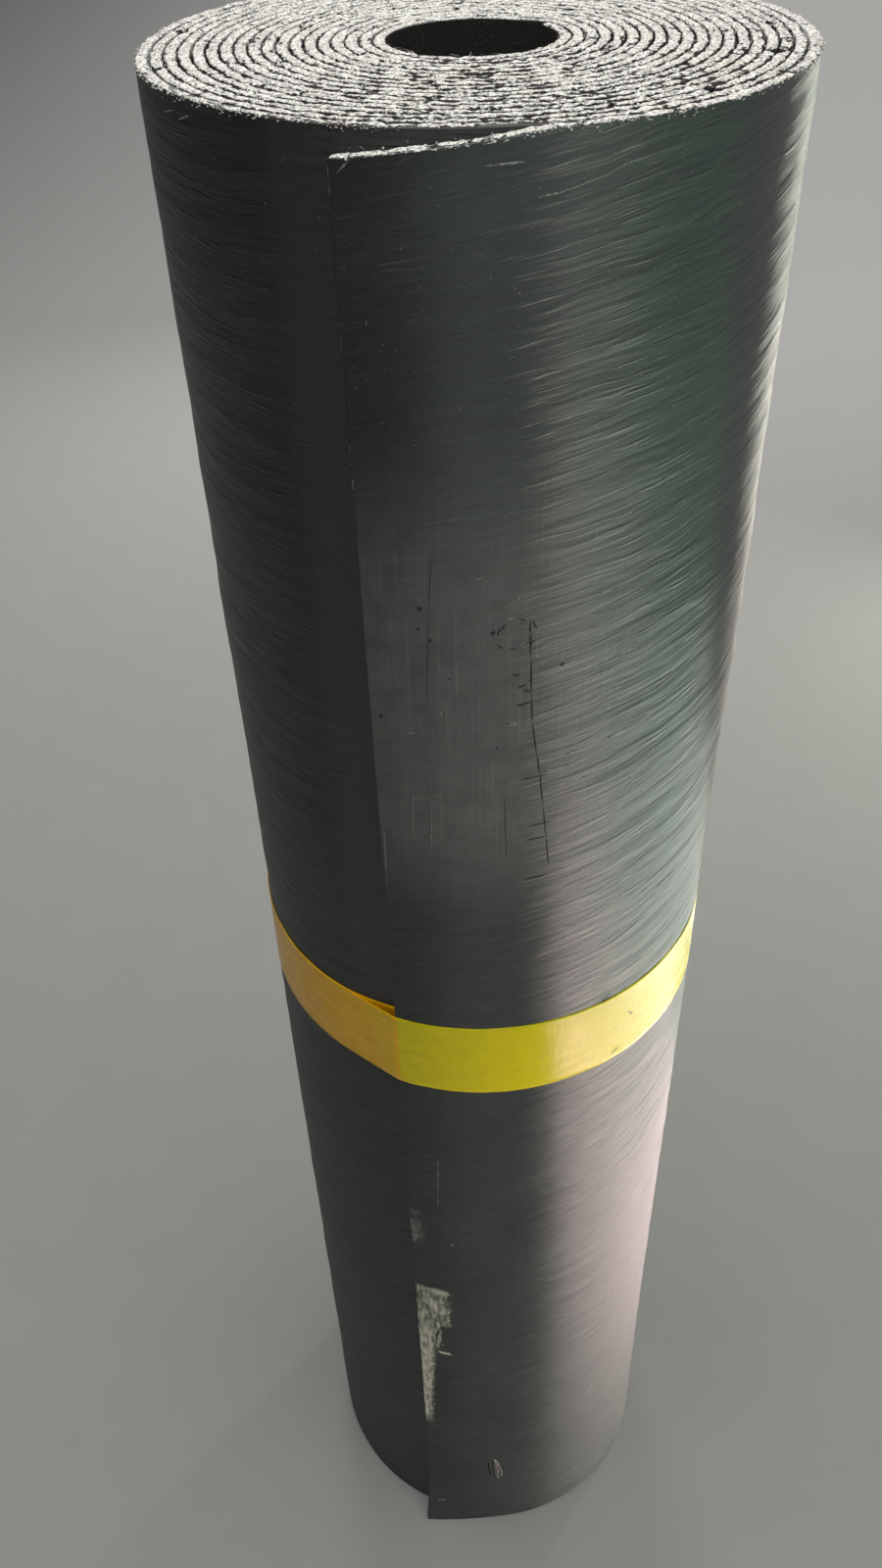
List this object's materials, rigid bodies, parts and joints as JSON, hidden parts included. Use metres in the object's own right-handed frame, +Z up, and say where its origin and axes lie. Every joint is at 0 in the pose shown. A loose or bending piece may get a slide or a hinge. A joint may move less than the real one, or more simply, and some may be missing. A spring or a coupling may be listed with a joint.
{
  "type": "roll of roofing felt",
  "caption": "Roll of black film-faced bituminous roofing felt, standing on its end, held by a band of yellow tape.",
  "frame": {"origin": "on the axis of the bore, on the plane of the foot", "axes": "+Z up the bore, towards the end with the dropped corner; the sheet's loose end lies 110.5 degrees clockwise from +X, seen from above"},
  "size_m": [0.2356, 0.2405, 1],
  "materials": {
    "bitumen_felt": "satin film face, crumbly grey cut edges",
    "tape": "gloss"
  },
  "bodies": {
    "root": {"felt_roll": "bitumen_felt", "tape_band": "tape"}
  },
  "joints": []
}
